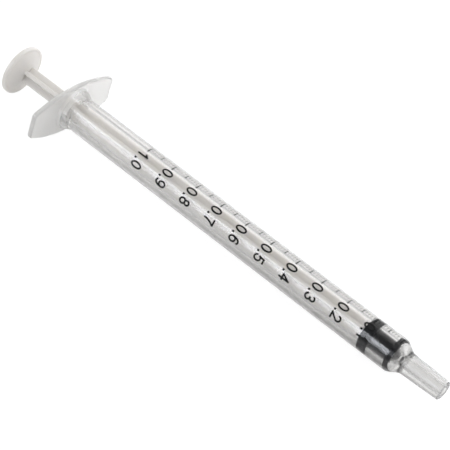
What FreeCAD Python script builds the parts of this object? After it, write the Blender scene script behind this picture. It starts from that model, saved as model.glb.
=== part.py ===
import FreeCAD, Part
import math
import os
import Sketcher

# Slip tip syringe of 1 ml, plunger fully in, lying on its side as it comes to rest.
# Every piece is modelled along its own X axis, with the nozzle towards +X and x = 0 at the
# zero line of the scale, which is the front edge of the stopper's front rib.
# One common placement then lays the three pieces down on the surface z = 0.

# How near an edge has to lie to the place that is asked for
EDGE_MATCH = 1e-5

# Driving sizes in millimetres and degrees
driving_sizes = {
    # Barrel tube; with this bore, 62.88 mm from the zero line to the last mark hold 1 ml
    "scale_length": 62.88,
    "barrel_diameter": 7.1,
    "bore_diameter": 4.5,
    "mouth_reserve": 20.7,
    "mouth_lead_depth": 0.5,
    "mouth_lead_width": 0.3,

    # Retaining bead inside the open end
    "bead_height": 0.1,
    "bead_setback": 2.0,
    "bead_ramp": 0.4,
    "bead_crest": 0.3,

    # Finger flange and the flared root that joins it to the tube
    "flange_length": 22.6,
    "flange_width": 10.4,
    "flange_end_width": 5.4,
    "flange_thickness": 1.1,
    "flange_corner_radius": 0.9,
    "flange_edge_radius": 0.3,
    "root_flare_height": 1.05,
    "root_flare_length": 2.2,

    # Shoulder, tapered nozzle and fluid channel
    "shoulder_start": 0.1,
    "shoulder_length": 2.3,
    "shoulder_radius": 2.0,
    "nozzle_tip_diameter": 3.95,
    "nozzle_taper": 0.06,
    "nozzle_length": 8.7,
    "nozzle_root_radius": 0.4,
    "nozzle_rim_radius": 0.25,
    "channel_diameter": 1.6,
    "front_gap": 0.12,

    # Stopper
    "stopper_length": 7.2,
    "rear_rib_width": 2.3,
    "front_rib_width": 1.0,
    "rib_clearance": 0.03,
    "rib_edge_radius": 0.12,
    "waist_depth": 0.2,
    "nose_length": 0.95,
    "nose_step": 0.2,
    "nose_tip_diameter": 1.2,

    # Snap head of the rod and the socket that holds it
    "neck_diameter": 1.9,
    "neck_length": 1.5,
    "head_diameter": 2.7,
    "head_length": 2.0,
    "head_barb_length": 0.5,
    "head_nose_diameter": 1.7,
    "socket_clearance": 0.06,

    # Cruciform stem of the plunger rod and the collar behind the stopper
    "fin_span": 3.55,
    "fin_thickness": 0.85,
    "fin_roll": 45,
    "fin_edge_radius": 0.15,
    "fin_root_radius": 0.2,
    "collar_diameter": 4.0,
    "collar_thickness": 0.8,
    "collar_gap": 0.05,

    # Thumb disc with its wide, conical boss and the grip rings in its rear face
    "thumb_gap": 12.4,
    "thumb_diameter": 10.5,
    "thumb_thickness": 1.0,
    "thumb_edge_radius": 0.3,
    "boss_height": 2.8,
    "boss_length": 1.2,
    "grip_ring_count": 2,
    "grip_ring_diameter": 5.6,
    "grip_ring_pitch": 1.2,
    "grip_ring_width": 0.5,
    "grip_ring_depth": 0.15,
}

# Sizes that follow from the driving ones
derived_sizes = {
    # Places along the axis, counted from the zero line
    "flange_rear": "-scale_length - mouth_reserve",
    "flange_front": "flange_rear + flange_thickness",
    "nozzle_start": "shoulder_start + shoulder_length",
    "nozzle_end": "nozzle_start + nozzle_length",
    "stopper_rear": "-stopper_length",
    "head_rear": "stopper_rear + neck_length + socket_clearance",
    "head_front": "head_rear + head_length",
    "collar_front": "stopper_rear - collar_gap",
    "collar_rear": "collar_front - collar_thickness",
    "thumb_front": "flange_rear - thumb_gap",
    "thumb_rear": "thumb_front - thumb_thickness",

    # Radii that more than one feature uses
    "barrel_radius": "barrel_diameter / 2",
    "bore_radius": "bore_diameter / 2",
    "channel_radius": "channel_diameter / 2",
    "nozzle_tip_radius": "nozzle_tip_diameter / 2",
    "nozzle_root": "nozzle_tip_radius + nozzle_taper / 2 * nozzle_length",
    "rib_radius": "bore_radius - rib_clearance",
    "nose_radius": "rib_radius - nose_step",
    "nose_slope": "nose_length / (nose_radius - nose_tip_diameter / 2)",
    "flange_arc_height": "(flange_width - flange_end_width) / 2",
    "flange_arc": "((flange_length / 2) ^ 2 + flange_arc_height ^ 2) / 2 / flange_arc_height",

    # At rest the long edge of the flange and the front of the tube touch the surface
    "shoulder_angle": "atan((barrel_radius - nozzle_root) / shoulder_length) / 1deg",
    "tube_front": "shoulder_start - shoulder_radius * tan(shoulder_angle / 2)",
    "rest_tilt": "atan((flange_width / 2 - barrel_radius) / (tube_front - flange_front)) / 1deg",
    "thumb_reach": "(thumb_rear + thumb_edge_radius) * cos(rest_tilt)"
                   " - (thumb_diameter / 2 - thumb_edge_radius) * sin(rest_tilt) - thumb_edge_radius",
    "tip_reach": "(nozzle_end - nozzle_rim_radius) * cos(rest_tilt)"
                 " + (nozzle_tip_radius - nozzle_rim_radius) * sin(rest_tilt) + nozzle_rim_radius",
    "rest_shift": "-(thumb_reach + tip_reach) / 2",
    "rest_height": "flange_width / 2 * cos(rest_tilt) + flange_front * sin(rest_tilt)",
}

doc = FreeCAD.newDocument("slip_tip_syringe")
sheet = doc.addObject("Spreadsheet::Sheet", "Sizes")
rows = {"A": 0, "D": 0}


def write_size(alias, content):
    """Write one named size in the next row of the sheet, as text."""
    rows["A"] += 1
    row = rows["A"]
    sheet.set("A%d" % row, alias.replace("_", " "))
    sheet.set("B%d" % row, content)
    sheet.setAlias("B%d" % row, alias)


for name, number in driving_sizes.items():
    write_size(name, str(number))
for name, formula in derived_sizes.items():
    write_size(name, "=" + formula)
doc.recompute()


def value(alias):
    """Read a named size from the sheet as a plain number."""
    return float(getattr(sheet, alias))


def bind(feature, prop, alias):
    """Bind a property of a feature to a named size of the sheet."""
    feature.setExpression(prop, "Sizes." + alias)


def place_cell(formula):
    """Write the formula of one sketch coordinate in the sheet and return its cell."""
    rows["D"] += 1
    cell = "D%d" % rows["D"]
    sheet.set(cell, "=" + formula)
    return cell


def new_body(label):
    """Make an empty body whose label names the piece and its file."""
    body = doc.addObject("PartDesign::Body", label)
    body.Label = label
    return body


def new_sketch(body, name, role):
    """Attach an empty sketch to one of the body's own origin planes, found by its role."""
    sketch = body.newObject("Sketcher::SketchObject", name)
    plane = [f for f in body.Origin.OriginFeatures if f.Role == role][0]
    sketch.AttachmentSupport = [(plane, "")]
    sketch.MapMode = "FlatFace"
    return sketch


def polygon(body, name, role, corners):
    """Sketch a closed outline whose corners are pairs of formulas in the sheet's names."""
    sketch = new_sketch(body, name, role)
    cells = [[None if f == "0" else place_cell(f) for f in pair] for pair in corners]
    doc.recompute()
    spots = [[0.0 if c is None else float(sheet.get(c)) for c in pair] for pair in cells]
    count = len(corners)
    for i in range(count):
        start = FreeCAD.Vector(spots[i][0], spots[i][1], 0)
        end = FreeCAD.Vector(spots[(i + 1) % count][0], spots[(i + 1) % count][1], 0)
        sketch.addGeometry(Part.LineSegment(start, end), False)
    for i in range(count):
        sketch.addConstraint(Sketcher.Constraint("Coincident", i, 2, (i + 1) % count, 1))
    for i in range(count):
        for kind, axis, cell, spot in (("DistanceX", -2, cells[i][0], spots[i][0]),
                                       ("DistanceY", -1, cells[i][1], spots[i][1])):
            if cell is None:
                sketch.addConstraint(Sketcher.Constraint("PointOnObject", i, 1, axis))
            else:
                index = sketch.addConstraint(Sketcher.Constraint(kind, -1, 1, i, 1, spot))
                bind(sketch, "Constraints[%d]" % index, cell)
    return sketch


def turn(body, name, corners, cut=False):
    """Turn an outline of (place, radius) formulas about X, adding it or cutting it away."""
    sketch = polygon(body, name + "_outline", "XY_Plane", corners)
    doc.recompute()
    before = body.Shape.Volume if not body.Shape.isNull() else 0.0
    kind = "PartDesign::Groove" if cut else "PartDesign::Revolution"
    feature = body.newObject(kind, name)
    feature.Profile = sketch
    feature.ReferenceAxis = (sketch, ["H_Axis"])
    feature.Angle = 360
    doc.recompute()
    change = body.Shape.Volume - before
    if (change < 0) != cut:
        raise RuntimeError(name + " changed the volume by %.4f" % change)
    return feature


def round_off(body, name, radius, chosen):
    """Round the edges of the body that the test picks, with a named radius."""
    base = body.Tip
    names = ["Edge%d" % (i + 1) for i, e in enumerate(base.Shape.Edges) if chosen(e)]
    if not names:
        raise RuntimeError(name + " found no edge")
    feature = body.newObject("PartDesign::Fillet", name)
    feature.Base = (base, names)
    bind(feature, "Radius", radius)
    doc.recompute()
    if "Invalid" in feature.State or "Error" in feature.State:
        raise RuntimeError(name + " could not be rounded")
    return feature


def ring_at(place, radius):
    """Make a test for the circular edges about X at a place and radius."""
    def chosen(edge):
        curve = edge.Curve
        return (isinstance(curve, Part.Circle) and abs(curve.Center.x - place) < EDGE_MATCH
                and abs(curve.Radius - radius) < EDGE_MATCH)
    return chosen


def rings(*spots):
    """Make a test for the circular edges at any of several (place, radius) pairs."""
    tests = [ring_at(place, radius) for place, radius in spots]
    return lambda edge: any(test(edge) for test in tests)


def lengthwise(distance):
    """Make a test for the straight edges along X at a distance from the axis."""
    def chosen(edge):
        ends = [v.Point for v in edge.Vertexes]
        reach = [math.hypot(p.y, p.z) for p in ends]
        along = abs(ends[0].x - ends[-1].x) > 0.9 * edge.Length
        return along and all(abs(r - distance) < EDGE_MATCH for r in reach)
    return chosen


def flange_outline(body):
    """Sketch the flange: two long arcs and two straight ends, long axis along Y."""
    sketch = new_sketch(body, "flange_outline", "YZ_Plane")
    half = value("flange_length") / 2
    end = value("flange_end_width") / 2
    arc = value("flange_arc")
    centre = value("flange_width") / 2 - arc
    start = math.atan2(end - centre, half)
    up = FreeCAD.Vector(0, 0, 1)
    top = Part.Circle(FreeCAD.Vector(0, centre, 0), up, arc)
    bottom = Part.Circle(FreeCAD.Vector(0, -centre, 0), up, arc)
    corner = [FreeCAD.Vector(a * half, b * end, 0) for a, b in ((1, 1), (-1, 1), (-1, -1), (1, -1))]
    sketch.addGeometry(Part.ArcOfCircle(top, start, math.pi - start), False)
    sketch.addGeometry(Part.LineSegment(corner[1], corner[2]), False)
    sketch.addGeometry(Part.ArcOfCircle(bottom, math.pi + start, 2 * math.pi - start), False)
    sketch.addGeometry(Part.LineSegment(corner[3], corner[0]), False)
    for i in range(4):
        sketch.addConstraint(Sketcher.Constraint("Coincident", i, 2, (i + 1) % 4, 1))
    sketch.addConstraint(Sketcher.Constraint("Symmetric", 0, 1, 0, 2, -2))
    sketch.addConstraint(Sketcher.Constraint("Symmetric", 1, 1, 1, 2, -1))
    sketch.addConstraint(Sketcher.Constraint("Symmetric", 3, 1, 3, 2, -1))
    sketch.addConstraint(Sketcher.Constraint("Equal", 0, 2))
    for kind, args, formula in (("DistanceX", (1, 1, 0, 1), "flange_length"),
                                ("DistanceY", (3, 1, 3, 2), "flange_end_width"),
                                ("Radius", (0,), "flange_arc")):
        index = sketch.addConstraint(Sketcher.Constraint(kind, *args, value(formula)))
        bind(sketch, "Constraints[%d]" % index, formula)
    bind(sketch, "AttachmentOffset.Base.z", "flange_rear")
    return sketch


def make_barrel():
    """Barrel: flange, flared root, tube, shoulder and nozzle, bored from mouth to tip."""
    body = new_body("barrel")
    plate = body.newObject("PartDesign::Pad", "flange_plate")
    plate.Profile = flange_outline(body)
    bind(plate, "Length", "flange_thickness")
    doc.recompute()
    corner = math.hypot(value("flange_length") / 2, value("flange_end_width") / 2)
    round_off(body, "flange_corners", "flange_corner_radius", lengthwise(corner))
    round_off(body, "flange_rim", "flange_edge_radius",
              lambda e: abs(e.BoundBox.XLength) < EDGE_MATCH)
    turn(body, "tube", [
        ("flange_rear", "0"),
        ("flange_rear", "barrel_radius + root_flare_height"),
        ("flange_front", "barrel_radius + root_flare_height"),
        ("flange_front + root_flare_length", "barrel_radius"),
        ("shoulder_start", "barrel_radius"),
        ("nozzle_start", "nozzle_root"),
        ("nozzle_end", "nozzle_tip_radius"),
        ("nozzle_end", "0"),
    ])
    round_off(body, "shoulder_round", "shoulder_radius",
              ring_at(value("shoulder_start"), value("barrel_radius")))
    round_off(body, "nozzle_root_round", "nozzle_root_radius",
              ring_at(value("nozzle_start"), value("nozzle_root")))
    round_off(body, "nozzle_rim_round", "nozzle_rim_radius",
              ring_at(value("nozzle_end"), value("nozzle_tip_radius")))
    turn(body, "bore", [
        ("flange_rear", "0"),
        ("flange_rear", "bore_radius + mouth_lead_width"),
        ("flange_rear + mouth_lead_depth", "bore_radius"),
        ("flange_rear + bead_setback", "bore_radius"),
        ("flange_rear + bead_setback + bead_ramp", "bore_radius - bead_height"),
        ("flange_rear + bead_setback + bead_ramp + bead_crest", "bore_radius - bead_height"),
        ("flange_rear + bead_setback + 2 * bead_ramp + bead_crest", "bore_radius"),
        ("front_gap", "bore_radius"),
        ("front_gap + (bore_radius - channel_radius) * nose_slope", "channel_radius"),
        ("nozzle_end", "channel_radius"),
        ("nozzle_end", "0"),
    ], cut=True)
    return body


def make_stopper():
    """Stopper: two sealing ribs, a waist, a conical nose and the socket for the rod."""
    body = new_body("stopper")
    turn(body, "rubber", [
        ("stopper_rear", "0"),
        ("stopper_rear", "rib_radius"),
        ("stopper_rear + rear_rib_width", "rib_radius"),
        ("stopper_rear + rear_rib_width", "bore_radius - waist_depth"),
        ("-front_rib_width", "bore_radius - waist_depth"),
        ("-front_rib_width", "rib_radius"),
        ("0", "rib_radius"),
        ("0", "nose_radius"),
        ("nose_length", "nose_tip_diameter / 2"),
        ("nose_length", "0"),
    ])
    rear = value("stopper_rear")
    round_off(body, "rib_rounds", "rib_edge_radius", rings(
        (rear, value("rib_radius")),
        (rear + value("rear_rib_width"), value("rib_radius")),
        (-value("front_rib_width"), value("rib_radius")),
        (0.0, value("rib_radius"))))
    turn(body, "socket", [
        ("stopper_rear", "0"),
        ("stopper_rear", "neck_diameter / 2 + socket_clearance"),
        ("stopper_rear + neck_length", "neck_diameter / 2 + socket_clearance"),
        ("stopper_rear + neck_length", "head_diameter / 2 + socket_clearance"),
        ("head_rear + head_barb_length + socket_clearance", "head_diameter / 2 + socket_clearance"),
        ("head_front + socket_clearance", "head_nose_diameter / 2 + socket_clearance"),
        ("head_front + socket_clearance", "0"),
    ], cut=True)
    return body


def make_plunger_rod():
    """Plunger rod: cruciform stem, thumb disc on a boss, collar, neck and snap head."""
    body = new_body("plunger_rod")
    outline = polygon(body, "fin_outline", "YZ_Plane", fin_corners())
    outline.AttachmentOffset = FreeCAD.Placement(
        FreeCAD.Vector(0, 0, value("thumb_front")),
        FreeCAD.Rotation(FreeCAD.Vector(0, 0, 1), value("fin_roll")))
    bind(outline, "AttachmentOffset.Base.z", "thumb_front")
    bind(outline, "AttachmentOffset.Rotation.Angle", "fin_roll * 1deg")
    stem = body.newObject("PartDesign::Pad", "stem")
    stem.Profile = outline
    stem.setExpression("Length", "Sizes.collar_rear - Sizes.thumb_front")
    doc.recompute()
    half = value("fin_span") / 2
    web = value("fin_thickness") / 2
    round_off(body, "fin_edges", "fin_edge_radius", lengthwise(math.hypot(half, web)))
    round_off(body, "fin_roots", "fin_root_radius", lengthwise(math.hypot(web, web)))
    turn(body, "thumb_disc", [
        ("thumb_rear", "0"),
        ("thumb_rear", "thumb_diameter / 2"),
        ("thumb_front", "thumb_diameter / 2"),
        ("thumb_front", "fin_span / 2 + boss_height"),
        ("thumb_front + boss_length", "fin_span / 2"),
        ("thumb_front + boss_length", "0"),
    ])
    thumb_radius = value("thumb_diameter") / 2
    round_off(body, "thumb_rim", "thumb_edge_radius", rings(
        (value("thumb_rear"), thumb_radius), (value("thumb_front"), thumb_radius)))
    for i in range(int(value("grip_ring_count"))):
        middle = "grip_ring_diameter / 2 + %d * grip_ring_pitch" % i
        turn(body, "grip_ring_%d" % (i + 1), [
            ("thumb_rear", middle + " - grip_ring_width / 2"),
            ("thumb_rear + grip_ring_depth", middle),
            ("thumb_rear", middle + " + grip_ring_width / 2"),
        ], cut=True)
    turn(body, "snap_head", [
        ("collar_rear", "0"),
        ("collar_rear", "collar_diameter / 2"),
        ("collar_front", "collar_diameter / 2"),
        ("collar_front", "neck_diameter / 2"),
        ("head_rear", "neck_diameter / 2"),
        ("head_rear", "head_diameter / 2"),
        ("head_rear + head_barb_length", "head_diameter / 2"),
        ("head_front", "head_nose_diameter / 2"),
        ("head_front", "0"),
    ])
    return body


def quarter_turn(pair):
    """Turn a (y, z) pair of formulas by 90 degrees about X."""
    return ("-1 * (" + pair[1] + ")", pair[0])


def fin_corners():
    """Corners of the plus sign that the four fins make, one fin after the other."""
    fin = [("fin_span / 2", "-fin_thickness / 2"),
           ("fin_span / 2", "fin_thickness / 2"),
           ("fin_thickness / 2", "fin_thickness / 2")]
    corners = []
    for turns in range(4):
        corners += fin
        fin = [quarter_turn(pair) for pair in fin]
    return corners


bodies = [make_barrel(), make_stopper(), make_plunger_rod()]

# The three pieces share one placement: tilted nose down, then lifted onto the surface
for body in bodies:
    body.Placement = FreeCAD.Placement(
        FreeCAD.Vector(0, 0, 0), FreeCAD.Rotation(FreeCAD.Vector(0, 1, 0), 1))
    bind(body, "Placement.Rotation.Angle", "rest_tilt * 1deg")
    bind(body, "Placement.Base.x", "rest_shift")
    bind(body, "Placement.Base.z", "rest_height")
doc.recompute()

# Nothing is written unless every object is sound
for item in doc.Objects:
    if "Invalid" in item.State or "Error" in item.State:
        raise RuntimeError(item.Name + " failed: " + str(item.State))
for body in bodies:
    if body.Shape.isNull() or not body.Shape.isValid() or len(body.Shape.Solids) != 1:
        raise RuntimeError(body.Label + " is not one valid solid")
os.makedirs("parts", exist_ok=True)
for body in bodies:
    body.Shape.exportStep("parts/" + body.Label + ".step")
    box = body.Shape.BoundBox
    print("%s: volume %.2f, x %.3f to %.3f, y %.3f to %.3f, z %.3f to %.3f" % (
        body.Label, body.Shape.Volume, box.XMin, box.XMax, box.YMin, box.YMax, box.ZMin, box.ZMax))
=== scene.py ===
# %% [markdown]
# # A slip tip syringe of one millilitre, lying on a white table
# A small syringe has three moulded pieces: a clear barrel, a milky plunger rod and a black
# rubber stopper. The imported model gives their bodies, their joints and their place. This
# lesson dresses them with smooth surfaces, an ink scale, real finishes and studio light.

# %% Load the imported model
import math

import bpy
import numpy as np
from mathutils import Matrix, Vector


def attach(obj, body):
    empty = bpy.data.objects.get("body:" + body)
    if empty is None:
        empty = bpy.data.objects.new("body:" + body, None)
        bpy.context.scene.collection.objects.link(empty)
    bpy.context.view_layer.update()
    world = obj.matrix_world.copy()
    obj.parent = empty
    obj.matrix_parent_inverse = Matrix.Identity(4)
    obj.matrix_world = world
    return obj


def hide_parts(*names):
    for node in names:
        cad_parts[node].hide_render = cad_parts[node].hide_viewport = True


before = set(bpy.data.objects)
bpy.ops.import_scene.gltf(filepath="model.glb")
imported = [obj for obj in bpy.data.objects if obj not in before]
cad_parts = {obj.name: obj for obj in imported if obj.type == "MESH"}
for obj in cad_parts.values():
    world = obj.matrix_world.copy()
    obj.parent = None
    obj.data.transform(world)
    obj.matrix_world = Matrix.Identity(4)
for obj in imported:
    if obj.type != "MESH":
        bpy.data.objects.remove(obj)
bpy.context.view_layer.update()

MM = 0.001  # one millimetre in metres

# %% [markdown]
# ## Sizes as on the drawing
# Everything below is written in millimetres along the syringe's own axis: x = 0 is the zero
# line of the scale, +x points to the nozzle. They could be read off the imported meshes, but
# these are loose triangles, and a drawing's numbers give smooth curves.

# %% Sizes of the barrel
BARREL_RADIUS = 3.55
BORE_RADIUS = 2.25
SCALE_LENGTH = 62.88
FLANGE_REAR = -SCALE_LENGTH - 20.7
FLANGE_THICKNESS = 1.1
FLANGE_FRONT = FLANGE_REAR + FLANGE_THICKNESS
FLANGE_HALF_LENGTH = 11.3
FLANGE_HALF_WIDTH = 5.2
FLANGE_END_HALF_WIDTH = 2.7
FLANGE_CORNER_RADIUS = 0.9
FLANGE_EDGE_RADIUS = 0.3
FLARE_HEIGHT = 1.05
FLARE_LENGTH = 2.2
MOUTH_LEAD_DEPTH = 0.5
MOUTH_LEAD_WIDTH = 0.3
BEAD_SETBACK = 2.0
BEAD_RAMP = 0.4
BEAD_CREST = 0.3
BEAD_HEIGHT = 0.1
SHOULDER_START = 0.1
NOZZLE_START = 2.4
NOZZLE_END = 11.1
NOZZLE_TIP_RADIUS = 1.975
NOZZLE_ROOT_RADIUS = NOZZLE_TIP_RADIUS + 0.03 * (NOZZLE_END - NOZZLE_START)
NOZZLE_ROOT_ROUND = 0.4
CHANNEL_RADIUS = 0.8
FRONT_GAP = 0.12

# %% Sizes of the stopper and the rod
STOPPER_REAR = -7.2
REAR_RIB_WIDTH = 2.3
FRONT_RIB_WIDTH = 1.0
WAIST_RADIUS = BORE_RADIUS - 0.2
RIB_EDGE_RADIUS = 0.12
NOSE_RADIUS = 2.02
NOSE_LENGTH = 0.95
NOSE_TIP_RADIUS = 0.6
NOSE_TIP_ROUND = 0.1
WAIST_ROUND = 0.04
SMALL_ROUND = 0.05  # an edge that is only broken
NECK_RADIUS = 0.95
NECK_LENGTH = 1.5
HEAD_RADIUS = 1.35
HEAD_NOSE_RADIUS = 0.85
HEAD_LENGTH = 2.0
HEAD_BARB_LENGTH = 0.5
SOCKET_CLEARANCE = 0.06
HEAD_REAR = STOPPER_REAR + NECK_LENGTH + SOCKET_CLEARANCE
HEAD_FRONT = HEAD_REAR + HEAD_LENGTH
COLLAR_FRONT = STOPPER_REAR - 0.05
COLLAR_REAR = COLLAR_FRONT - 0.8
COLLAR_RADIUS = 2.0
FIN_HALF_SPAN = 1.775
FIN_HALF_THICKNESS = 0.425
FIN_EDGE_RADIUS = 0.15
FIN_ROOT_RADIUS = 0.2
FIN_ROLL = math.radians(45)
THUMB_FRONT = FLANGE_REAR - 12.4
THUMB_REAR = THUMB_FRONT - 1.0
THUMB_RADIUS = 5.25
THUMB_EDGE_RADIUS = 0.3
BOSS_RADIUS = FIN_HALF_SPAN + 2.8
BOSS_FRONT = THUMB_FRONT + 1.2
BOSS_ROUND = 0.2
GRIP_RING_RADII = (2.8, 4.0)
GRIP_RING_HALF_WIDTH = 0.25
GRIP_RING_DEPTH = 0.15
GRIP_RING_ROUND = 0.1

# %% [markdown]
# ## How the syringe rests
# On a table it lies on the long edge of the flange and on the front of its tube, so its axis
# dips a little towards the nozzle. The tilt is the angle whose tangent is the drop between
# these two contacts over their distance.

# %% Lay points down on the table
SHOULDER_ROUND = 2.0
SHOULDER_ANGLE = math.atan((BARREL_RADIUS - NOZZLE_ROOT_RADIUS)
                           / (NOZZLE_START - SHOULDER_START))
TUBE_FRONT = SHOULDER_START - SHOULDER_ROUND * math.tan(SHOULDER_ANGLE / 2)
TILT = math.atan((FLANGE_HALF_WIDTH - BARREL_RADIUS) / (TUBE_FRONT - FLANGE_FRONT))
NOZZLE_RIM_ROUND = 0.25
THUMB_REACH = ((THUMB_REAR + THUMB_EDGE_RADIUS) * math.cos(TILT)
               - (THUMB_RADIUS - THUMB_EDGE_RADIUS) * math.sin(TILT) - THUMB_EDGE_RADIUS)
TIP_REACH = ((NOZZLE_END - NOZZLE_RIM_ROUND) * math.cos(TILT)
             + (NOZZLE_TIP_RADIUS - NOZZLE_RIM_ROUND) * math.sin(TILT) + NOZZLE_RIM_ROUND)
SHIFT = -(THUMB_REACH + TIP_REACH) / 2
LIFT = FLANGE_HALF_WIDTH * math.cos(TILT) + FLANGE_FRONT * math.sin(TILT)
TURN_DOWN = np.array([[math.cos(TILT), 0, math.sin(TILT)],
                      [0, 1, 0],
                      [-math.sin(TILT), 0, math.cos(TILT)]])


def lie_down(points):
    """Move points of the drawing to the table, in metres.

    Each point is turned about y by the tilt, shifted along x and lifted, then scaled."""
    return (points @ TURN_DOWN.T + np.array([SHIFT, 0, LIFT])) * MM


print("tilt %.3f degrees, lift %.3f mm" % (math.degrees(TILT), LIFT))

# %% [markdown]
# ## A profile with rounded corners
# Moulded pieces have no sharp corners. A bevel modifier could round them, but a round worked
# out in the profile is exact: an arc that touches both runs, with two points held close to
# its ends, so that the flat runs beside it stay flat when the surface is shaded smooth.

# %% Round the corners of a profile
ARC_STEP = math.radians(11)
HOLD = 0.04
ROOM_SHARE = 0.45  # how much of a run one of its two corners may take up


def rounded(corners, closed=False):
    """Return the points of a run of straight lines whose corners are rounded.

    corners holds (u, v, round) triples. An arc of radius r leaves the corner's legs at
    r / tan(half the inner angle), and its centre lies on the bisector at r / sin(half)."""
    corners = np.array(corners, float)
    spots, radii, count = corners[:, :2], corners[:, 2], len(corners)
    points = []
    for i in range(count):
        if not closed and i in (0, count - 1):
            points.append(spots[i][None])
            continue
        to_last = spots[i - 1] - spots[i]
        to_next = spots[(i + 1) % count] - spots[i]
        room = ROOM_SHARE * min(np.linalg.norm(to_last), np.linalg.norm(to_next))
        to_last /= np.linalg.norm(to_last)
        to_next /= np.linalg.norm(to_next)
        half = math.acos(np.clip(to_last @ to_next, -1, 1)) / 2
        leg = radii[i] / math.tan(half)
        hold = min(HOLD, max(room - leg, 0))
        if radii[i] == 0:
            hold = min(HOLD, room)
            points.append(spots[i] + np.outer([hold, 0, 0], to_last)
                          + np.outer([0, 0, hold], to_next))
            continue
        bisector = (to_last + to_next) / np.linalg.norm(to_last + to_next)
        centre = spots[i] + bisector * radii[i] / math.sin(half)
        start = spots[i] + to_last * leg - centre
        end = spots[i] + to_next * leg - centre
        sweep = math.atan2(start[0] * end[1] - start[1] * end[0], start @ end)
        angles = np.linspace(0, sweep, max(3, math.ceil(abs(sweep) / ARC_STEP) + 1))
        arc = np.stack([start[0] * np.cos(angles) - start[1] * np.sin(angles),
                        start[0] * np.sin(angles) + start[1] * np.cos(angles)], axis=1) + centre
        points += [spots[i][None] + to_last * (leg + hold), arc,
                   spots[i][None] + to_next * (leg + hold)]
    return np.concatenate(points)


# %% [markdown]
# ## One grid for a whole piece
# Every piece of a syringe is carried along its axis: at each station the section is a
# circle, or it is the outline of a flange or of a plus-shaped stem. So one grid of stations
# by places round the outline makes a closed skin, with no boolean and no seam.

# %% Carry an outline along the axis
def circles(profile):
    """Turn (x, radius) points into stations: place, radius, share of the outline, inset."""
    nothing = np.zeros(len(profile))
    return np.stack([profile[:, 0], profile[:, 1], nothing, nothing], axis=1)


def sections(profile):
    """Turn (x, inset) points into stations that follow the outline, pulled in by the inset."""
    nothing = np.zeros(len(profile))
    return np.stack([profile[:, 0], nothing, nothing + 1, profile[:, 1]], axis=1)


def carry(stations, outline):
    """Return the grid of points of a piece.

    With the share w, a point is (1 - w) * radius * direction + w * (outline - inset * normal),
    where direction and normal belong to its place round the outline, and x is the station's."""
    direction = outline / np.linalg.norm(outline, axis=1, keepdims=True)
    along = np.roll(outline, -1, axis=0) - np.roll(outline, 1, axis=0)
    normal = np.stack([along[:, 1], -along[:, 0]], axis=1)
    normal /= np.linalg.norm(normal, axis=1, keepdims=True)
    x, radius, share, inset = (column[:, None, None] for column in stations.T)
    flat = (1 - share) * radius * direction + share * (outline - inset * normal)
    return np.concatenate([np.broadcast_to(x, flat.shape[:2] + (1,)), flat], axis=2)


# %% Skin a grid of points
SHARP_ANGLE = math.radians(32)  # edges that turn more than this stay crisp


def skin(name, grid, material, looped=False):
    """Make a closed mesh object whose faces join neighbouring points of a grid.

    Face (i, j) joins place j to the next place, at station i and the next station. An open
    grid begins and ends in one point on the axis, where the faces are triangles. The signed
    volume, a sixth of the sum of the triangles' triple products, tells if the faces point out."""
    stations, places = grid.shape[:2]
    if looped:
        points = grid.reshape(-1, 3)
        ids = np.arange(stations * places).reshape(stations, places)
        ids = np.concatenate([ids, ids[:1]])
    else:
        points = np.concatenate([grid[0, :1], grid[1:-1].reshape(-1, 3), grid[-1, :1]])
        ids = np.arange((stations - 2) * places).reshape(-1, places) + 1
        ids = np.concatenate([ids[:1] * 0, ids, ids[:1] * 0 + len(points) - 1])
    turned = np.roll(ids, -1, axis=1)
    quads = np.stack([ids[:-1], turned[:-1], turned[1:], ids[1:]], axis=-1).reshape(-1, 4)
    first, second, third = (points[quads[:, k]] for k in range(3))
    fourth = points[quads[:, 3]]
    volume = (np.einsum("ij,ij->", first, np.cross(second, third))
              + np.einsum("ij,ij->", first, np.cross(third, fourth))) / 6
    if volume < 0:
        quads = quads[:, ::-1]
    mesh = bpy.data.meshes.new(name)
    faces = [list(dict.fromkeys(quad)) for quad in quads.tolist()]
    mesh.from_pydata(lie_down(points).tolist(), [], faces)
    mesh.polygons.foreach_set("use_smooth", np.ones(len(mesh.polygons), bool))
    mesh.set_sharp_from_angle(angle=SHARP_ANGLE)
    mesh.materials.append(material)
    piece = bpy.data.objects.new(name, mesh)
    bpy.context.scene.collection.objects.link(piece)
    print("%s: %d faces, %.1f cubic mm" % (name, len(quads), abs(volume)))
    return piece


# %% [markdown]
# ## The finishes
# The barrel is clear moulded plastic with a slight haze. Glass nodes alone would look too
# bright, because a thick wall also takes a little light on the way: the longer the way
# through it, the greyer it looks. A volume that absorbs gives this for every view. The mould
# is eroded at the flange and the nozzle, so their skin is matt, the flange looks milky and
# the nozzle a little grey. There the roughness rises and the clearness falls, along the
# syringe's length, which the Object coordinates give.

# %% Helpers for node materials
GRAIN_DETAIL = 3  # octaves of the noise


def new_material(name, **settings):
    """Make a node material and set inputs of its main shader by their names."""
    material = bpy.data.materials.new(name)
    material.use_nodes = True
    shader = material.node_tree.nodes["Principled BSDF"]
    for key, content in settings.items():
        shader.inputs[key.replace("_", " ")].default_value = content
    return material, material.node_tree, shader


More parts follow.
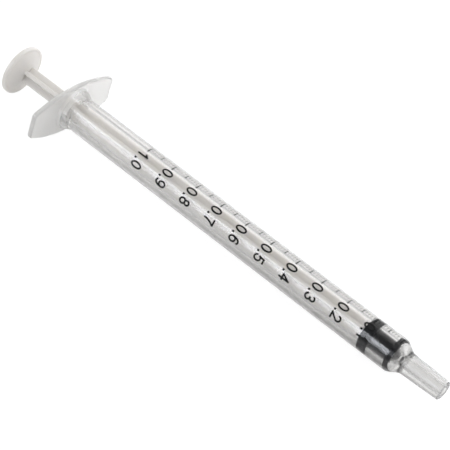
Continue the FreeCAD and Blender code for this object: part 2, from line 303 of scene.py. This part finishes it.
def add_grain(tree, shader, scale, strength, distance, stretch=(1, 1, 1), rough=None):
    """Give a surface fine relief and, if asked, uneven gloss, from noise on Object coordinates."""
    nodes, links = tree.nodes, tree.links
    place = nodes.new("ShaderNodeTexCoord")
    mapping = nodes.new("ShaderNodeMapping")
    mapping.inputs["Scale"].default_value = stretch
    noise = nodes.new("ShaderNodeTexNoise")
    noise.inputs["Scale"].default_value = scale
    noise.inputs["Detail"].default_value = GRAIN_DETAIL
    bump = nodes.new("ShaderNodeBump")
    bump.inputs["Strength"].default_value = strength
    bump.inputs["Distance"].default_value = distance
    links.new(place.outputs["Object"], mapping.inputs["Vector"])
    links.new(mapping.outputs["Vector"], noise.inputs["Vector"])
    links.new(noise.outputs["Fac"], bump.inputs["Height"])
    links.new(bump.outputs["Normal"], shader.inputs["Normal"])
    if rough:
        spread = nodes.new("ShaderNodeMapRange")
        spread.inputs["To Min"].default_value = rough[0]
        spread.inputs["To Max"].default_value = rough[1]
        links.new(noise.outputs["Fac"], spread.inputs["Value"])
        links.new(spread.outputs["Result"], shader.inputs["Roughness"])


# %% Helpers for values that change over a length
def axes(tree, coordinates="Object"):
    """Return the x, y and z sockets of a place, or of a direction in a world."""
    place = tree.nodes.new("ShaderNodeTexCoord")
    split = tree.nodes.new("ShaderNodeSeparateXYZ")
    tree.links.new(place.outputs[coordinates], split.inputs[0])
    return split.outputs


def ramp(tree, source, start, end, low, high, soft=True):
    """Return a socket that goes from low to high while the source goes from start to end."""
    fade = tree.nodes.new("ShaderNodeMapRange")
    if soft:
        fade.interpolation_type = "SMOOTHSTEP"
    for name, content in (("From Min", start), ("From Max", end),
                          ("To Min", low), ("To Max", high)):
        fade.inputs[name].default_value = content
    tree.links.new(source, fade.inputs["Value"])
    return fade.outputs["Result"]


def combine(tree, operation, first, second):
    """Return the socket of a sum, a product or another operation on two sockets."""
    node = tree.nodes.new("ShaderNodeMath")
    node.operation = operation
    tree.links.new(first, node.inputs[0])
    tree.links.new(second, node.inputs[1])
    return node.outputs[0]


# %% The barrel's two matt ends
FLANGE_ROUGHER = 0.16
NOZZLE_ROUGHER = 0.10
FLANGE_CLEARNESS = 0.78
NOZZLE_CLEARNESS = 0.92
NOZZLE_TINT = 0.88
END_FADE = 1.2  # millimetres over which the nozzle's finish sets in


def object_x(millimetres):
    """Return a place along the syringe's axis as the Object coordinate x of a lying piece."""
    return (millimetres + SHIFT) * MM


def add_matt_ends(tree, shader):
    """Make the skin matt at the flange and the nozzle, and let both ends scatter some light.

    Roughness rises, and Transmission Weight falls, over the flared root and past the shoulder.
    The solid nozzle is also a little greyer: there the tint is scaled down."""
    length = axes(tree)["X"]

    def towards_flange(low, high):
        """Go from low to high over the flared root."""
        return ramp(tree, length, object_x(FLANGE_FRONT + FLARE_LENGTH), object_x(FLANGE_FRONT),
                    low, high, soft=False)

    def towards_nozzle(start, low, high):
        """Go from low to high within a short fade that begins at a place."""
        return ramp(tree, length, object_x(start), object_x(start + END_FADE),
                    low, high, soft=False)

    rough = shader.inputs["Roughness"].links[0].from_socket
    rough = combine(tree, "ADD", rough, towards_flange(0, FLANGE_ROUGHER))
    rough = combine(tree, "ADD", rough, towards_nozzle(0, 0, NOZZLE_ROUGHER))
    tree.links.new(rough, shader.inputs["Roughness"])
    clear = combine(tree, "MULTIPLY", towards_flange(1, FLANGE_CLEARNESS),
                    towards_nozzle(NOZZLE_START, 1, NOZZLE_CLEARNESS))
    tree.links.new(clear, shader.inputs["Transmission Weight"])
    tint = tree.nodes.new("ShaderNodeVectorMath")
    tint.operation = "SCALE"
    tint.inputs[0].default_value = shader.inputs["Base Color"].default_value[:3]
    tree.links.new(towards_nozzle(NOZZLE_START, 1, NOZZLE_TINT), tint.inputs["Scale"])
    tree.links.new(tint.outputs[0], shader.inputs["Base Color"])


# %% The four finishes
clear_plastic, tree, shader = new_material(
    "clear_barrel", Base_Color=(1.0, 0.994, 0.984, 1), Transmission_Weight=1.0, IOR=1.49)
add_grain(tree, shader, scale=300, strength=0.002, distance=0.00001,
          stretch=(0.12, 1, 1), rough=(0.15, 0.17))
add_matt_ends(tree, shader)
haze = tree.nodes.new("ShaderNodeVolumeAbsorption")
haze.inputs["Color"].default_value = (0.50, 0.49, 0.47, 1)
haze.inputs["Density"].default_value = 24.0
tree.links.new(haze.outputs["Volume"], tree.nodes["Material Output"].inputs["Volume"])

milky_plastic, tree, shader = new_material(
    "natural_rod", Base_Color=(0.71, 0.69, 0.67, 1), IOR=1.49,
    Subsurface_Weight=0.6, Subsurface_Scale=0.0012, Subsurface_Radius=(1.0, 1.0, 0.9))
add_grain(tree, shader, scale=900, strength=0.08, distance=0.00003, rough=(0.30, 0.42))

black_rubber, tree, shader = new_material(
    "black_rubber", Base_Color=(0.004, 0.004, 0.006, 1), IOR=1.38)
add_grain(tree, shader, scale=1500, strength=0.02, distance=0.00001, rough=(0.26, 0.32))

scale_ink, tree, shader = new_material(
    "scale_ink", Base_Color=(0.006, 0.006, 0.007, 1), Specular_IOR_Level=0.2)
add_grain(tree, shader, scale=5000, strength=0.10, distance=0.00001, rough=(0.6, 0.75))

# %% [markdown]
# ## The barrel
# The barrel is one moulding: a tube with a bore, a flange for two fingers at its open end,
# a flared root that stiffens this flange, and a shoulder that ends in the tapered nozzle.
# The flange has two arched long edges and two straight ends.

# %% The flange's outline
LONG_ARC_POINTS = 64
CORNER_POINTS = 14
END_POINTS = 16


def flange_outline():
    """Return points round the flange: a long arc, a small corner arc and half an end, mirrored.

    The long arc passes the middle at half the width and would reach the end at half its
    height. The corner arc touches it from inside, so its centre is one corner radius nearer
    to the long arc's centre, and one corner radius inside the end."""
    rise = FLANGE_HALF_WIDTH - FLANGE_END_HALF_WIDTH
    arc = (FLANGE_HALF_LENGTH ** 2 + rise ** 2) / 2 / rise
    centre = FLANGE_HALF_WIDTH - arc
    corner_y = FLANGE_HALF_LENGTH - FLANGE_CORNER_RADIUS
    corner_z = centre + math.sqrt((arc - FLANGE_CORNER_RADIUS) ** 2 - corner_y ** 2)
    turn = math.atan2(corner_z - centre, corner_y)
    long_angles = np.linspace(math.pi / 2, turn, LONG_ARC_POINTS)
    long_arc = np.stack([arc * np.cos(long_angles), centre + arc * np.sin(long_angles)], axis=1)
    short_angles = np.linspace(turn, 0, CORNER_POINTS)[1:]
    corner = np.stack([corner_y + FLANGE_CORNER_RADIUS * np.cos(short_angles),
                       corner_z + FLANGE_CORNER_RADIUS * np.sin(short_angles)], axis=1)
    end_z = np.linspace(corner_z, 0, END_POINTS)[1:]
    end = np.stack([np.full(len(end_z), FLANGE_HALF_LENGTH), end_z], axis=1)
    quarter = np.concatenate([long_arc, corner, end])
    lower = quarter[-2::-1] * [1, -1]
    half = np.concatenate([quarter, lower])
    return np.concatenate([half, half[-2:0:-1] * [-1, 1]])[::-1]


# %% The barrel in one skin
PLATE_INSET = FLANGE_EDGE_RADIUS + 0.1  # where the flat faces of the flange begin


def barrel_stations():
    """Walk round the barrel's section: along the outside to the rear, and back in the bore."""
    nose_slope = NOSE_LENGTH / (NOSE_RADIUS - NOSE_TIP_RADIUS)
    cone_end = FRONT_GAP + (BORE_RADIUS - CHANNEL_RADIUS) * nose_slope
    bead = FLANGE_REAR + BEAD_SETBACK
    outside = circles(rounded([
        (NOZZLE_END, CHANNEL_RADIUS, 0), (NOZZLE_END, NOZZLE_TIP_RADIUS, NOZZLE_RIM_ROUND),
        (NOZZLE_START, NOZZLE_ROOT_RADIUS, NOZZLE_ROOT_ROUND),
        (SHOULDER_START, BARREL_RADIUS, SHOULDER_ROUND),
        (FLANGE_FRONT + FLARE_LENGTH, BARREL_RADIUS, 0),
        (FLANGE_FRONT, BARREL_RADIUS + FLARE_HEIGHT, 0)]))
    plate = sections(rounded([
        (FLANGE_FRONT, PLATE_INSET, 0), (FLANGE_FRONT, 0, FLANGE_EDGE_RADIUS),
        (FLANGE_REAR, 0, FLANGE_EDGE_RADIUS), (FLANGE_REAR, PLATE_INSET, 0)]))
    inside = circles(rounded([
        (FLANGE_REAR, BORE_RADIUS + MOUTH_LEAD_WIDTH, 0),
        (FLANGE_REAR + MOUTH_LEAD_DEPTH, BORE_RADIUS, 0),
        (bead, BORE_RADIUS, 0), (bead + BEAD_RAMP, BORE_RADIUS - BEAD_HEIGHT, 0),
        (bead + BEAD_RAMP + BEAD_CREST, BORE_RADIUS - BEAD_HEIGHT, 0),
        (bead + 2 * BEAD_RAMP + BEAD_CREST, BORE_RADIUS, 0),
        (FRONT_GAP, BORE_RADIUS, 0), (cone_end, CHANNEL_RADIUS, 0),
        (NOZZLE_END, CHANNEL_RADIUS, 0)]))
    return np.concatenate([outside, plate, inside[:-1]])


barrel = skin("clear_barrel", carry(barrel_stations(), flange_outline()), clear_plastic,
              looped=True)
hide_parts("barrel")
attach(barrel, "barrel")

# %% [markdown]
# ## The stopper
# The rubber stopper seals with two ribs, has a waist between them and a cone at the front
# that fits the barrel's end. A socket in its rear holds the rod's snap head. Rubber is
# pressed against the wall, so here the ribs reach a hair into it: light then goes from
# plastic straight to rubber, as on the real syringe, and the ribs fill the tube's width.

# %% The stopper in one skin
PRESSED_RIB_RADIUS = BORE_RADIUS + 0.004
CIRCLE_POINTS = 192
CIRCLE_ANGLES = np.arange(CIRCLE_POINTS) / (CIRCLE_POINTS / 2) * math.pi
CIRCLE = np.stack([np.cos(CIRCLE_ANGLES), np.sin(CIRCLE_ANGLES)], axis=1)


def stopper_stations():
    """Walk from the tip of the nose over the ribs to the rear, and back into the socket."""
    socket_neck = NECK_RADIUS + SOCKET_CLEARANCE
    socket_head = HEAD_RADIUS + SOCKET_CLEARANCE
    return circles(rounded([
        (NOSE_LENGTH, 0, 0), (NOSE_LENGTH, NOSE_TIP_RADIUS, NOSE_TIP_ROUND),
        (0, NOSE_RADIUS, SMALL_ROUND), (0, PRESSED_RIB_RADIUS, RIB_EDGE_RADIUS),
        (-FRONT_RIB_WIDTH, PRESSED_RIB_RADIUS, RIB_EDGE_RADIUS),
        (-FRONT_RIB_WIDTH, WAIST_RADIUS, WAIST_ROUND),
        (STOPPER_REAR + REAR_RIB_WIDTH, WAIST_RADIUS, WAIST_ROUND),
        (STOPPER_REAR + REAR_RIB_WIDTH, PRESSED_RIB_RADIUS, RIB_EDGE_RADIUS),
        (STOPPER_REAR, PRESSED_RIB_RADIUS, RIB_EDGE_RADIUS), (STOPPER_REAR, socket_neck, 0),
        (HEAD_REAR - SOCKET_CLEARANCE, socket_neck, 0),
        (HEAD_REAR - SOCKET_CLEARANCE, socket_head, 0),
        (HEAD_REAR + HEAD_BARB_LENGTH + SOCKET_CLEARANCE, socket_head, 0),
        (HEAD_FRONT + SOCKET_CLEARANCE, HEAD_NOSE_RADIUS + SOCKET_CLEARANCE, 0),
        (HEAD_FRONT + SOCKET_CLEARANCE, 0, 0)]))


stopper = skin("rubber_stopper", carry(stopper_stations(), CIRCLE), black_rubber)
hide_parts("stopper")
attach(stopper, "stopper")

# %% [markdown]
# ## The plunger rod
# The rod's stem has the section of a plus sign: four fins, which make it stiff with little
# plastic. Behind it is the thumb disc, whose front swells to a wide, shallow cone round the
# stem; before it are a collar that pushes the stopper, and the snap head. Again one outline,
# carried from end to end, makes them all.

# %% The stem's outline
STEM_STEP = 0.06


def spread(outline, step):
    """Add points along a closed outline, one for each step of its length, and keep the old ones."""
    ring = np.concatenate([outline, outline[:1]])
    length = np.concatenate([[0], np.cumsum(np.linalg.norm(np.diff(ring, axis=0), axis=1))])
    wanted = np.unique(np.concatenate([length[:-1], np.arange(0, length[-1], step)]).round(5))
    return np.stack([np.interp(wanted, length, ring[:, k]) for k in range(2)], axis=1)


def stem_outline():
    """Return points round the plus sign, rolled by 45 degrees, with rounded tips and roots."""
    tip, web = FIN_HALF_SPAN, FIN_HALF_THICKNESS
    fin = np.array([(tip, -web), (tip, web), (web, web)])
    corners = [np.stack([fin[:, 0] * c - fin[:, 1] * s, fin[:, 0] * s + fin[:, 1] * c], axis=1)
               for c, s in ((1, 0), (0, 1), (-1, 0), (0, -1))]
    rounds = np.tile([FIN_EDGE_RADIUS, FIN_EDGE_RADIUS, FIN_ROOT_RADIUS], 4)
    outline = rounded(np.column_stack([np.concatenate(corners), rounds]), closed=True)
    outline = spread(outline, STEM_STEP)
    c, s = math.cos(FIN_ROLL), math.sin(FIN_ROLL)
    return outline @ np.array([[c, s], [-s, c]])


# %% The rod in one skin
ROUND_THE_FINS = FIN_HALF_SPAN + 0.01  # a circle a hair wider than the plus sign


def rod_stations():
    """Walk from the middle of the thumb disc's rear face over its rim to the stem and the head."""
    rear = [(THUMB_REAR, 0, 0)]
    for radius in GRIP_RING_RADII:
        rear += [(THUMB_REAR, radius - GRIP_RING_HALF_WIDTH, GRIP_RING_ROUND),
                 (THUMB_REAR + GRIP_RING_DEPTH, radius, GRIP_RING_ROUND),
                 (THUMB_REAR, radius + GRIP_RING_HALF_WIDTH, GRIP_RING_ROUND)]
    disc = circles(rounded(rear + [
        (THUMB_REAR, THUMB_RADIUS, THUMB_EDGE_RADIUS),
        (THUMB_FRONT, THUMB_RADIUS, THUMB_EDGE_RADIUS),
        (THUMB_FRONT, BOSS_RADIUS, BOSS_ROUND), (BOSS_FRONT, ROUND_THE_FINS, 0)]))
    stem = sections(np.array([(BOSS_FRONT, 0), (BOSS_FRONT + HOLD, 0),
                              (COLLAR_REAR - HOLD, 0), (COLLAR_REAR, 0)]))
    head = circles(rounded([
        (COLLAR_REAR, ROUND_THE_FINS, 0), (COLLAR_REAR, COLLAR_RADIUS, SMALL_ROUND),
        (COLLAR_FRONT, COLLAR_RADIUS, SMALL_ROUND), (COLLAR_FRONT, NECK_RADIUS, 0),
        (HEAD_REAR, NECK_RADIUS, 0), (HEAD_REAR, HEAD_RADIUS, SMALL_ROUND),
        (HEAD_REAR + HEAD_BARB_LENGTH, HEAD_RADIUS, SMALL_ROUND),
        (HEAD_FRONT, HEAD_NOSE_RADIUS, SMALL_ROUND), (HEAD_FRONT, 0, 0)]))
    return np.concatenate([disc, stem, head])


rod = skin("milky_rod", carry(rod_stations(), stem_outline()), milky_plastic)
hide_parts("plunger_rod")
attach(rod, "plunger_rod")

# %% [markdown]
# ## The printed scale
# The scale is black ink, a hundredth of a millimetre thick. Its lines stand for hundredths
# of a millilitre, with a longer one at each fifth and the longest, with a numeral, at each
# tenth. An image could paint it, but strokes of real geometry stay crisp in every view. Each
# numeral is a few strokes, given as lines and arcs in a box one unit wide and one high, and
# each stroke becomes a flat band that is wrapped round the tube.

# %% Sizes of the print
PRINT_TURN = math.radians(-47.6)
INK_THICKNESS = 0.012
NUMERAL_HEIGHT = 2.5
NUMERAL_WIDTH = 1.45
NUMERAL_STROKE = 0.36
NUMERAL_STEP = 2.44
POINT_SIZE = 0.38
POINT_PATH = np.array([(0, 0), (0, 0.04), (0, 0.08)])  # a very short stroke is a point
LONG_TICK = (39, 62)
MIDDLE_TICK = (46, 62)
SHORT_TICK = (50, 62)
TICK_STROKE = 0.26
SHORT_TICK_STROKE = 0.13
LINE_POINTS = 14
ARC_POINT_STEP = 9  # degrees
FEWEST_ARC_POINTS = 8
TICK_POINTS = 18

# %% Strokes of the numerals
# A stroke is (x0, y0, x1, y1) for a line, or (x, y, radius x, radius y, from, to) for an arc.
STROKES = {
    "0": [(0.5, 0.5, 0.5, 0.5, 0, 360)],
    "1": [(0.62, 0, 0.62, 1), (0.62, 1, 0.22, 0.74)],
    "2": [(0.5, 0.72, 0.5, 0.28, 165, -28), (0.94, 0.58, 0, 0), (0, 0, 1, 0)],
    "3": [(0.47, 0.76, 0.43, 0.24, 150, -90), (0.47, 0.26, 0.53, 0.26, 90, -155)],
    "4": [(0.72, 0, 0.72, 1), (0.72, 1, 0, 0.3), (0, 0.3, 1, 0.3)],
    "5": [(0.92, 1, 0.2, 1), (0.2, 1, 0.08, 0.5), (0.48, 0.32, 0.52, 0.32, 140, -155)],
    "6": [(0.5, 0.31, 0.5, 0.31, 0, 360), (0.62, 0.4, 0.62, 0.6, 62, 190)],
    "7": [(0, 1, 1, 1), (1.55, -0.05, 1.2, 1.1, 118, 178)],
    "8": [(0.5, 0.76, 0.42, 0.24, 0, 360), (0.5, 0.27, 0.5, 0.27, 0, 360)],
    "9": [(0.5, 0.69, 0.5, 0.31, 0, 360), (0.38, 0.6, 0.62, 0.6, 242, 370)],
}


def stroke_path(stroke):
    """Return points along a stroke: an arc's are centre + radii * (cos, sin) of its angles."""
    if len(stroke) == 4:
        share = np.linspace(0, 1, LINE_POINTS)[:, None]
        return np.array(stroke[:2]) * (1 - share) + np.array(stroke[2:]) * share
    x, y, wide, high, start, end = stroke
    count = max(FEWEST_ARC_POINTS, round(abs(end - start) / ARC_POINT_STEP))
    angles = np.radians(np.linspace(start, end, count))
    return np.stack([x + wide * np.cos(angles), y + high * np.sin(angles)], axis=1)


# %% Bands of ink on the tube
def ink_band(path, width):
    """Return the grid of a band along a path on the unrolled tube, and wrap it round the tube.

    The path holds (place along x, angle times radius) pairs. The band's section is a box: its
    sides lie half the width from the path, its top one ink thickness above the surface. A
    point at height h has y = h * sin(angle) and z = h * cos(angle)."""
    along = np.gradient(path, axis=0)
    along /= np.linalg.norm(along, axis=1, keepdims=True)
    path = path.copy()
    path[0] -= along[0] * width / 2
    path[-1] += along[-1] * width / 2
    across = np.stack([-along[:, 1], along[:, 0]], axis=1) * width / 2
    flat = np.stack([path - across, path + across, path + across, path - across], axis=1)
    high, low = BARREL_RADIUS + INK_THICKNESS, BARREL_RADIUS - INK_THICKNESS
    height = np.array([high, high, low, low])
    angle = flat[..., 1] / BARREL_RADIUS
    return np.stack([flat[..., 0], height * np.sin(angle), height * np.cos(angle)], axis=-1)


def on_tube(flat, middle):
    """Turn (to the right, up) points of the print into (place along x, angle times radius)."""
    return np.stack([middle + flat[:, 1], PRINT_TURN * BARREL_RADIUS - flat[:, 0]], axis=1)


def numeral_bands(text, middle):
    """Return the bands of a decimal number, read across the tube, with its top to the nozzle."""
    bands = []
    inner = np.array([NUMERAL_WIDTH - NUMERAL_STROKE, NUMERAL_HEIGHT - NUMERAL_STROKE])
    whole, decimal = text.split(".")
    for character, side in ((whole, -1), (decimal, 1)):
        for stroke in STROKES[character]:
            flat = (stroke_path(stroke) - 0.5) * inner + [side * NUMERAL_STEP / 2, 0]
            bands.append(ink_band(on_tube(flat, middle), NUMERAL_STROKE))
    point = POINT_PATH + [0, -NUMERAL_HEIGHT / 2 + POINT_SIZE / 2]
    bands.append(ink_band(on_tube(point, middle), POINT_SIZE))
    return bands


def tick_band(place, span, width):
    """Return the band of one graduation line that runs round the tube between two angles."""
    angles = np.radians(np.linspace(*span, TICK_POINTS)) + PRINT_TURN
    path = np.stack([np.full(TICK_POINTS, place), angles * BARREL_RADIUS], axis=1)
    return ink_band(path, width)


# %% All the bands in one mesh
def ink_mesh(name, bands, material):
    """Join the bands: four sides between neighbouring sections of each, and a cap at each end."""
    points, faces, base = [], [], 0
    for band in bands:
        count = len(band)
        ids = np.arange(count * 4).reshape(count, 4) + base
        turned = np.roll(ids, -1, axis=1)
        sides = np.stack([ids[:-1], ids[1:], turned[1:], turned[:-1]], axis=-1).reshape(-1, 4)
        points.append(band.reshape(-1, 3))
        faces += sides.tolist() + [ids[0].tolist(), ids[-1][::-1].tolist()]
        base += count * 4
    mesh = bpy.data.meshes.new(name)
    mesh.from_pydata(lie_down(np.concatenate(points)).tolist(), [], faces)
    mesh.materials.append(material)
    piece = bpy.data.objects.new(name, mesh)
    bpy.context.scene.collection.objects.link(piece)
    print("%s: %d bands, %d faces" % (name, len(bands), len(faces)))
    return piece


bands = []
for tenth in range(1, 11):
    bands += numeral_bands("%.1f" % (tenth / 10), -SCALE_LENGTH * tenth / 10)
for step in range(101):
    span = LONG_TICK if step % 10 == 0 else MIDDLE_TICK if step % 5 == 0 else SHORT_TICK
    width = SHORT_TICK_STROKE if step % 5 else TICK_STROKE
    bands.append(tick_band(-SCALE_LENGTH * step / 100, span, width))
scale = ink_mesh("printed_scale", bands, scale_ink)
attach(scale, "barrel")

# %% [markdown]
# ## The table, the light and the camera
# The table is white and so is the room behind it, and the camera sees them plain white, with
# a faint shadow. Clear plastic on a white table would vanish, so it shows the table's paint,
# which has a painted shade in front of the tube. That gives the tube its grey lines. A soft
# sky, brighter behind than in front, gives all the light, and two softboxes only show as
# reflections: light that comes through the plastic stays calm so.

# %% The table
HALF_TABLE = 1.5
# pale paint, and the darker tone of the painted shade in front of the tube
PALE_TONE, PAINTED_SHADE_TONE = 0.90, 0.12
PAINTED_SHADE_FRONT_FADE = (-0.034, -0.004)  # along y: dim in front of the tube, pale from the tube on
PAINTED_SHADE_FLANGE_FADE = (-0.045, -0.015)  # along x: pale near the flange, dim from the scale on
CAMERA_GLOW = 0.93
SHADOW_SHADE = 0.14


def table_material():
    """Pale paint to the light and in the plastic; plain white with a faint shadow to the camera.

    The paint's tone is the larger of two ramps: a painted shade in front of the tube, which stops
    near the flange."""
    material = bpy.data.materials.new("white_table")
    material.use_nodes = True
    tree = material.node_tree
    nodes, links = tree.nodes, tree.links
    paint = nodes["Principled BSDF"]
    paint.inputs["Roughness"].default_value = 0.8
    place = axes(tree)
    # painted shade: the paint is darker in front of the tube, but not near the flange
    tone = combine(tree, "MAXIMUM", ramp(tree, place["Y"], *PAINTED_SHADE_FRONT_FADE, PAINTED_SHADE_TONE, PALE_TONE),
                   ramp(tree, place["X"], *PAINTED_SHADE_FLANGE_FADE, PALE_TONE, PAINTED_SHADE_TONE))
    links.new(tone, paint.inputs["Base Color"])
    rays = nodes.new("ShaderNodeLightPath")
    glow = nodes.new("ShaderNodeEmission")
    glow.inputs["Strength"].default_value = CAMERA_GLOW
    shade = nodes.new("ShaderNodeBsdfDiffuse")
    shade.inputs["Color"].default_value = (SHADOW_SHADE, SHADOW_SHADE, SHADOW_SHADE, 1)
    both = nodes.new("ShaderNodeAddShader")
    mix = nodes.new("ShaderNodeMixShader")
    links.new(glow.outputs[0], both.inputs[0])
    links.new(shade.outputs[0], both.inputs[1])
    links.new(rays.outputs["Is Camera Ray"], mix.inputs["Fac"])
    links.new(paint.outputs[0], mix.inputs[1])
    links.new(both.outputs[0], mix.inputs[2])
    links.new(mix.outputs[0], nodes["Material Output"].inputs["Surface"])
    return material


mesh = bpy.data.meshes.new("table")
corners = np.array([(-1, -1, 0), (1, -1, 0), (1, 1, 0), (-1, 1, 0)]) * HALF_TABLE
mesh.from_pydata(corners.tolist(), [], [(0, 1, 2, 3)])
mesh.materials.append(table_material())
table = bpy.data.objects.new("table", mesh)
bpy.context.scene.collection.objects.link(table)

# %% The sky
SKY_FRONT, SKY_BACK = 0.50, 1.70
ROOM_WALL = 0.64
CEILING_IN_GLOSS, CEILING_IN_PLASTIC = 0.12, 0.26
FRONT_IN_GLOSS, FRONT_IN_PLASTIC = 0.12, 0.80
CEILING_RISE = (0.25, 0.70)  # along the height of the direction
FRONT_DEPTH = (-0.8, 0.0)  # along its y


def studio_world():
    """A soft sky for the light itself, and a room that only mirrors and clear plastic show.

    The sky's strength rises from front to back. The room's is a ramp over the height of the
    direction, from a pale wall low down to a dim ceiling, times a ramp from front to back,
    whose front is dark in a gloss and pale through the plastic."""
    world = bpy.data.worlds.new("studio")
    world.use_nodes = True
    tree = world.node_tree
    nodes, links = tree.nodes, tree.links
    direction = axes(tree, "Generated")
    rays = nodes.new("ShaderNodeLightPath").outputs
    sky = nodes["Background"]
    sky.inputs["Color"].default_value = (1, 1, 1, 1)
    links.new(ramp(tree, direction["Y"], -1, 1, SKY_FRONT, SKY_BACK, soft=False),
              sky.inputs["Strength"])
    through = rays["Is Transmission Ray"]
    height = ramp(tree, direction["Z"], *CEILING_RISE, ROOM_WALL, CEILING_IN_GLOSS)
    links.new(ramp(tree, through, 0, 1, CEILING_IN_GLOSS, CEILING_IN_PLASTIC, soft=False),
              height.node.inputs["To Max"])
    front = ramp(tree, direction["Y"], *FRONT_DEPTH, FRONT_IN_GLOSS, 1.0)
    links.new(ramp(tree, through, 0, 1, FRONT_IN_GLOSS, FRONT_IN_PLASTIC, soft=False),
              front.node.inputs["To Min"])
    room = nodes.new("ShaderNodeBackground")
    links.new(combine(tree, "MULTIPLY", height, front), room.inputs["Strength"])
    shiny = combine(tree, "MAXIMUM", rays["Is Glossy Ray"], through)
    unscattered = combine(tree, "SUBTRACT", shiny, rays["Diffuse Depth"])
    unscattered.node.use_clamp = True
    seen = nodes.new("ShaderNodeMixShader")
    links.new(unscattered, seen.inputs["Fac"])
    links.new(sky.outputs[0], seen.inputs[1])
    links.new(room.outputs[0], seen.inputs[2])
    mix = nodes.new("ShaderNodeMixShader")
    links.new(rays["Is Camera Ray"], mix.inputs["Fac"])
    links.new(seen.outputs[0], mix.inputs[1])
    links.new(nodes.new("ShaderNodeBackground").outputs[0], mix.inputs[2])
    links.new(mix.outputs[0], nodes["World Output"].inputs["Surface"])
    return world


bpy.context.scene.world = studio_world()

# %% The softboxes
def softbox(name, place, aim, size, radiance, color=(1, 1, 1)):
    """Hang a rectangular lamp that faces a point.

    A lamp of power P and area A shines with the radiance P / (pi * A)."""
    lamp = bpy.data.lights.new(name, "AREA")
    lamp.shape = "RECTANGLE"
    lamp.size, lamp.size_y = size
    lamp.color = color
    lamp.energy = radiance * math.pi * size[0] * size[1]
    light = bpy.data.objects.new(name, lamp)
    bpy.context.scene.collection.objects.link(light)
    back = (Vector(place) - Vector(aim)).normalized()
    side = Vector((1, 0, 0))
    side = (side - back * side.dot(back)).normalized()
    up = back.cross(side)
    turn = Matrix((side, up, back)).transposed().to_4x4()
    light.matrix_world = Matrix.Translation(place) @ turn
    light.visible_diffuse = False
    return light


softbox("key_softbox", place=(-0.235, -0.43, 0.20), aim=(0, 0, 0), size=(0.45, 0.33),
        radiance=5.0, color=(0.91, 0.94, 1.0))
softbox("back_softbox", place=(0, 0.35, 0.45), aim=(0, 0, 0), size=(1.2, 0.60), radiance=0.75)

# %% The camera
AIM = np.array([2.6, -3.3, 7.3]) * MM
DISTANCE = 412.2 * MM
AZIMUTH = math.radians(28.44)
ELEVATION = math.radians(38.38)
ROLL = math.radians(17.8)
VIEW_ANGLE = math.radians(11.68)


def aim_camera():
    """Place the camera on a sphere round the point it aims at, and roll it about its view.

    Azimuth 0 looks along +y, and the camera's place is
    aim + distance * (sin a cos e, -cos a cos e, sin e)."""
    back = Vector((math.sin(AZIMUTH) * math.cos(ELEVATION),
                   -math.cos(AZIMUTH) * math.cos(ELEVATION), math.sin(ELEVATION)))
    lens = bpy.data.cameras.new("camera")
    lens.angle = VIEW_ANGLE
    lens.clip_start, lens.clip_end = 0.05, 10
    camera = bpy.data.objects.new("camera", lens)
    bpy.context.scene.collection.objects.link(camera)
    straight = back.to_track_quat("Z", "Y").to_matrix().to_4x4()
    camera.matrix_world = (Matrix.Translation(Vector(AIM) + back * DISTANCE) @ straight
                           @ Matrix.Rotation(ROLL, 4, "Z"))
    return camera


bpy.context.scene.camera = aim_camera()
bpy.context.scene.view_settings.view_transform = "Standard"
